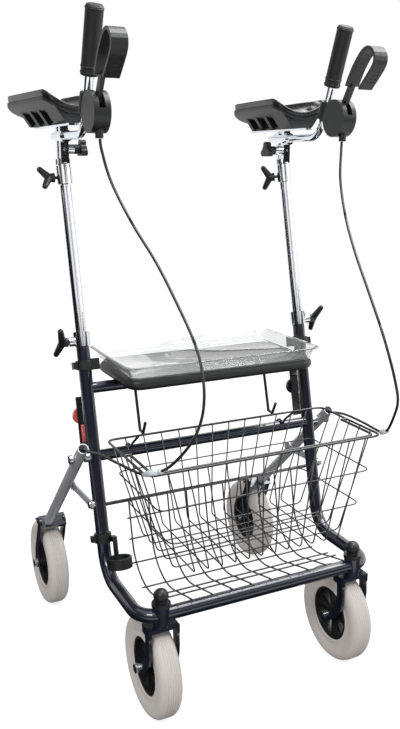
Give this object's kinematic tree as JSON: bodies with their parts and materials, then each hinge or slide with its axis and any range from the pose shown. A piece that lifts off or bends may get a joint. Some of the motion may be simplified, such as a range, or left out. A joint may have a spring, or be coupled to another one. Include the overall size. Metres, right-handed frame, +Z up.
{
  "type": "upright walker",
  "caption": "Upright rolling walker with padded forearm troughs on telescopic masts, hand brakes, folding rear legs, flip-up seat with clear tray, wire basket and swivel front wheels.",
  "frame": {"origin": "on the floor under the middle of the walker", "axes": "+Z up, -Y to the front, +X to the right in the picture"},
  "size_m": [0.639, 0.7675, 1.267],
  "materials": {
    "navy_paint": "gloss metallic paint",
    "black_wire": "powder coat",
    "black_plastic": "moulded",
    "chrome": "polished plating",
    "silver_paint": "silver paint",
    "zinc_steel": "zinc plated",
    "cable_jacket": "extruded jacket",
    "clear_acrylic": "clear",
    "pad_vinyl": "glossy vinyl",
    "grip_rubber": "moulded",
    "tyre_grey": "grey rubber"
  },
  "bodies": {
    "frame": {"front_frame": "navy_paint", "cross_tubes": "navy_paint", "shelf_rod": "black_wire", "wire_shelf": "black_wire", "stem_caps": "black_plastic", "mast_collars": "chrome", "seat_guides": "black_plastic", "cane_holder": "black_plastic", "bag_hooks": "black_wire", "reflector_bars": "silver_paint", "pivot_bolts": "zinc_steel", "brake_cables": "cable_jacket"},
    "seat": {"seat": "black_plastic"},
    "tray": {"tray": "clear_acrylic"},
    "basket": {"basket": "black_wire"},
    "bail": {"basket_bail": "black_wire"},
    "left_mast": {"left_mast": "chrome"},
    "left_collar_knob": {"left_collar_knob": "black_plastic"},
    "left_top_knob": {"left_top_knob": "black_plastic"},
    "left_arm": {"left_arm_bracket": "chrome", "left_trough": "black_plastic", "left_arm_pad": "pad_vinyl"},
    "left_handle": {"left_handle_tube": "chrome", "left_hand_grip": "grip_rubber", "left_brake_housing": "black_plastic"},
    "left_lever": {"left_brake_lever": "black_plastic"},
    "left_clamp_knob": {"left_clamp_knob": "black_plastic"},
    "left_caster": {"left_caster_fork": "navy_paint", "left_front_axle": "zinc_steel"},
    "left_front_wheel": {"left_front_tyre": "tyre_grey", "left_front_rim": "black_plastic"},
    "left_leg": {"left_rear_leg": "silver_paint", "left_rear_axle": "zinc_steel"},
    "left_rear_wheel": {"left_rear_tyre": "tyre_grey", "left_rear_rim": "black_plastic"},
    "left_shoe": {"left_brake_shoe": "zinc_steel"},
    "left_stay": {"left_fold_stay": "zinc_steel"},
    "right_mast": {"right_mast": "chrome"},
    "right_collar_knob": {"right_collar_knob": "black_plastic"},
    "right_top_knob": {"right_top_knob": "black_plastic"},
    "right_arm": {"right_arm_bracket": "chrome", "right_trough": "black_plastic", "right_arm_pad": "pad_vinyl"},
    "right_handle": {"right_handle_tube": "chrome", "right_hand_grip": "grip_rubber", "right_brake_housing": "black_plastic"},
    "right_lever": {"right_brake_lever": "black_plastic"},
    "right_clamp_knob": {"right_clamp_knob": "black_plastic"},
    "right_caster": {"right_caster_fork": "navy_paint", "right_front_axle": "zinc_steel"},
    "right_front_wheel": {"right_front_tyre": "tyre_grey", "right_front_rim": "black_plastic"},
    "right_leg": {"right_rear_leg": "silver_paint", "right_rear_axle": "zinc_steel"},
    "right_rear_wheel": {"right_rear_tyre": "tyre_grey", "right_rear_rim": "black_plastic"},
    "right_shoe": {"right_brake_shoe": "zinc_steel"},
    "right_stay": {"right_fold_stay": "zinc_steel"}
  },
  "joints": [
    {"name": "left_mast_slide", "type": "slide", "parent": "frame", "child": "left_mast", "axis": [0, 0.2284, 0.9736], "range_m": [-0.15, 0.1], "deforming": ["brake_cables"]},
    {"name": "left_arm_swivel", "type": "hinge", "parent": "left_mast", "child": "left_arm", "pos_m": [-0.248, 0.07608, 1.008], "axis": [0, 0.2284, 0.9736], "range_deg": [-25, 25]},
    {"name": "left_handle_slide", "type": "slide", "parent": "left_arm", "child": "left_handle", "axis": [0, -1, 0], "range_m": [0, 0.05]},
    {"name": "left_lever_squeeze", "type": "hinge", "parent": "left_handle", "child": "left_lever", "pos_m": [-0.248, -0.1365, 1.112], "axis": [-1, 0, 0], "range_deg": [0, 14], "stiffness_Nm_per_rad": 1.5, "springref_deg": -17.19},
    {"name": "left_collar_knob_turn", "type": "hinge", "parent": "frame", "child": "left_collar_knob", "pos_m": [-0.248, -0.0017, 0.67637], "axis": [-1, 0, 0], "range_deg": [0, 180]},
    {"name": "left_top_knob_turn", "type": "hinge", "parent": "left_mast", "child": "left_top_knob", "pos_m": [-0.248, 0.0706, 0.98463], "axis": [-1, 0, 0], "range_deg": [0, 180]},
    {"name": "left_clamp_knob_turn", "type": "hinge", "parent": "left_arm", "child": "left_clamp_knob", "pos_m": [-0.23, 0.07808, 1.038], "axis": [1, 0, 0], "range_deg": [0, 90]},
    {"name": "left_caster_swivel", "type": "hinge", "parent": "frame", "child": "left_caster", "pos_m": [-0.209, -0.28649, 0.23], "axis": [0, 0, 1], "continuous": true},
    {"name": "left_front_wheel_spin", "type": "hinge", "parent": "left_caster", "child": "left_front_wheel", "pos_m": [-0.209, -0.24149, 0.098], "axis": [1, 0, 0], "continuous": true},
    {"name": "left_leg_fold", "type": "hinge", "parent": "frame", "child": "left_leg", "pos_m": [-0.28, -0.05339, 0.456], "axis": [-1, 0, 0], "range_deg": [0, 30], "deforming": ["brake_cables"]},
    {"name": "left_rear_wheel_spin", "type": "hinge", "parent": "left_leg", "child": "left_rear_wheel", "pos_m": [-0.272, 0.24149, 0.098], "axis": [1, 0, 0], "continuous": true},
    {"name": "left_shoe_press", "type": "hinge", "parent": "left_leg", "child": "left_shoe", "pos_m": [-0.272, 0.21871, 0.21571], "axis": [-1, 0, 0], "range_deg": [0, 6]},
    {"name": "left_stay_swing", "type": "hinge", "parent": "frame", "child": "left_stay", "pos_m": [-0.264, -0.07473, 0.365], "axis": [1, 0, 0], "range_deg": [0, 60]},
    {"name": "right_mast_slide", "type": "slide", "parent": "frame", "child": "right_mast", "axis": [0, 0.2284, 0.9736], "range_m": [-0.15, 0.1], "deforming": ["brake_cables"]},
    {"name": "right_arm_swivel", "type": "hinge", "parent": "right_mast", "child": "right_arm", "pos_m": [0.248, 0.07608, 1.008], "axis": [0, 0.2284, 0.9736], "range_deg": [-25, 25]},
    {"name": "right_handle_slide", "type": "slide", "parent": "right_arm", "child": "right_handle", "axis": [0, -1, 0], "range_m": [0, 0.05]},
    {"name": "right_lever_squeeze", "type": "hinge", "parent": "right_handle", "child": "right_lever", "pos_m": [0.248, -0.1365, 1.112], "axis": [-1, 0, 0], "range_deg": [0, 14], "stiffness_Nm_per_rad": 1.5, "springref_deg": -17.19},
    {"name": "right_collar_knob_turn", "type": "hinge", "parent": "frame", "child": "right_collar_knob", "pos_m": [0.248, -0.0017, 0.67637], "axis": [1, 0, 0], "range_deg": [0, 180]},
    {"name": "right_top_knob_turn", "type": "hinge", "parent": "right_mast", "child": "right_top_knob", "pos_m": [0.248, 0.0706, 0.98463], "axis": [-0.866, 0.4868, -0.1142], "range_deg": [0, 180]},
    {"name": "right_clamp_knob_turn", "type": "hinge", "parent": "right_arm", "child": "right_clamp_knob", "pos_m": [0.23, 0.07808, 1.038], "axis": [-1, 0, 0], "range_deg": [0, 90]},
    {"name": "right_caster_swivel", "type": "hinge", "parent": "frame", "child": "right_caster", "pos_m": [0.209, -0.28649, 0.23], "axis": [0, 0, 1], "continuous": true},
    {"name": "right_front_wheel_spin", "type": "hinge", "parent": "right_caster", "child": "right_front_wheel", "pos_m": [0.209, -0.24149, 0.098], "axis": [1, 0, 0], "continuous": true},
    {"name": "right_leg_fold", "type": "hinge", "parent": "frame", "child": "right_leg", "pos_m": [0.28, -0.05339, 0.456], "axis": [-1, 0, 0], "range_deg": [0, 30], "deforming": ["brake_cables"]},
    {"name": "right_rear_wheel_spin", "type": "hinge", "parent": "right_leg", "child": "right_rear_wheel", "pos_m": [0.272, 0.24149, 0.098], "axis": [1, 0, 0], "continuous": true},
    {"name": "right_shoe_press", "type": "hinge", "parent": "right_leg", "child": "right_shoe", "pos_m": [0.272, 0.21871, 0.21571], "axis": [-1, 0, 0], "range_deg": [0, 6]},
    {"name": "right_stay_swing", "type": "hinge", "parent": "frame", "child": "right_stay", "pos_m": [0.264, -0.07473, 0.365], "axis": [1, 0, 0], "range_deg": [0, 60]},
    {"name": "seat_flip", "type": "hinge", "parent": "frame", "child": "seat", "pos_m": [0, -0.0229, 0.586], "axis": [-1, 0, 0], "range_deg": [0, 80]},
    {"name": "tray_lift", "type": "slide", "parent": "seat", "child": "tray", "axis": [0, 0, 1], "range_m": [0, 0.12]},
    {"name": "basket_lift", "type": "slide", "parent": "frame", "child": "basket", "axis": [0, 0, 1], "range_m": [0, 0.06]},
    {"name": "bail_swing", "type": "hinge", "parent": "basket", "child": "bail", "pos_m": [0, -0.2035, 0.506], "axis": [-1, 0, 0], "range_deg": [0, 90]}
  ],
  "couplings": [
    {"joint": "left_shoe_press", "follows": "left_lever_squeeze", "ratio": 0.4281},
    {"joint": "left_stay_swing", "follows": "left_leg_fold", "ratio": 2},
    {"joint": "right_shoe_press", "follows": "right_lever_squeeze", "ratio": 0.4281},
    {"joint": "right_stay_swing", "follows": "right_leg_fold", "ratio": 2}
  ]
}
